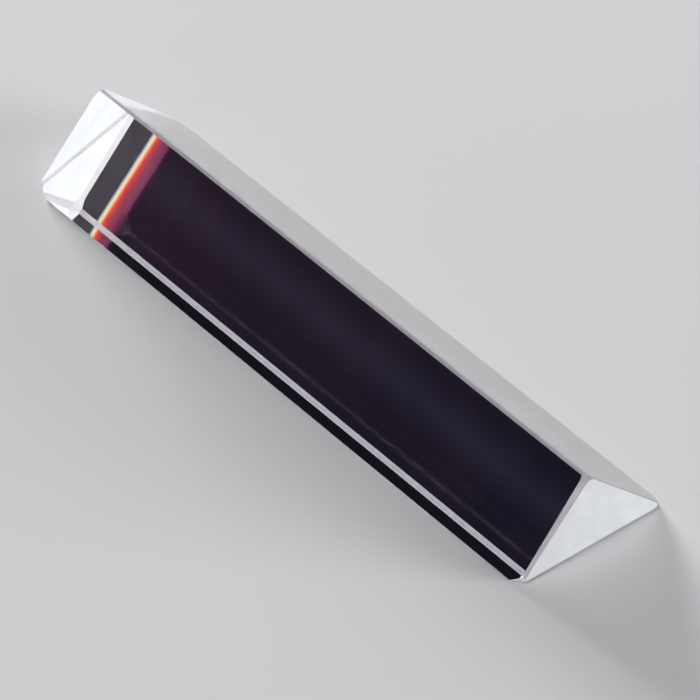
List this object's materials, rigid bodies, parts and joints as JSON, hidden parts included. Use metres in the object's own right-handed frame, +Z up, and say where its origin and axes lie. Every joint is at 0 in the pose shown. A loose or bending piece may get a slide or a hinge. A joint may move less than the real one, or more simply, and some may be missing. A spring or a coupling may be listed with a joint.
{
  "type": "right-angle prism",
  "caption": "Long clear glass right-angle prism with polished faces and ground ends, for turning or reflecting light.",
  "frame": {"origin": "middle of the widest long face, the base that the prism lies on", "axes": "+X along the prism, +Y across it from the near leg face to the far one, +Z up to the ridge"},
  "size_m": [0.0874, 0.0194, 0.0097],
  "materials": {
    "optical_glass": "clear, with polished long faces and finely ground ends, edges and bevels"
  },
  "bodies": {
    "root": {"prism": "optical_glass"}
  },
  "joints": []
}
